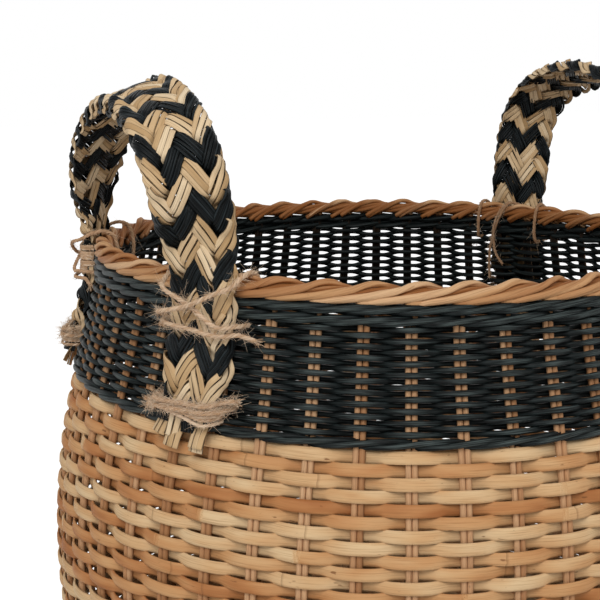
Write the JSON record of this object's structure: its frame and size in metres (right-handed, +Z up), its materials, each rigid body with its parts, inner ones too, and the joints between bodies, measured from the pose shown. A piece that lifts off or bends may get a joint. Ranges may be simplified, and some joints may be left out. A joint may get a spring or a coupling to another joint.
{
  "type": "woven basket",
  "caption": "Round rattan basket: natural woven body with a full belly, black woven shoulder band, rolled rim and two braided seagrass handles lashed on with jute twine.",
  "frame": {"origin": "centre of the base, on the floor the basket stands on", "axes": "+Z up through the mouth; the two handles stand over +X and -X"},
  "size_m": [0.441, 0.441, 0.4792],
  "materials": {
    "rattan": "satin",
    "rim_cane": "satin",
    "black_cane": "matte",
    "seagrass": "matte",
    "jute": "matte"
  },
  "bodies": {
    "root": {"base_weave": "rattan", "base_sticks_lower": "rattan", "base_sticks_upper": "rattan", "foot_wale": "rattan", "body_weave": "rattan", "lower_wale": "black_cane", "band_weave": "black_cane", "upper_wale": "black_cane", "rim_border": "rim_cane", "handle_right": "seagrass", "rim_tie_right_front": "jute", "band_tie_right_front": "jute", "rim_tie_right_back": "jute", "band_tie_right_back": "jute", "handle_left": "seagrass", "rim_tie_left_front": "jute", "band_tie_left_front": "jute", "rim_tie_left_back": "jute", "band_tie_left_back": "jute"}
  },
  "joints": []
}
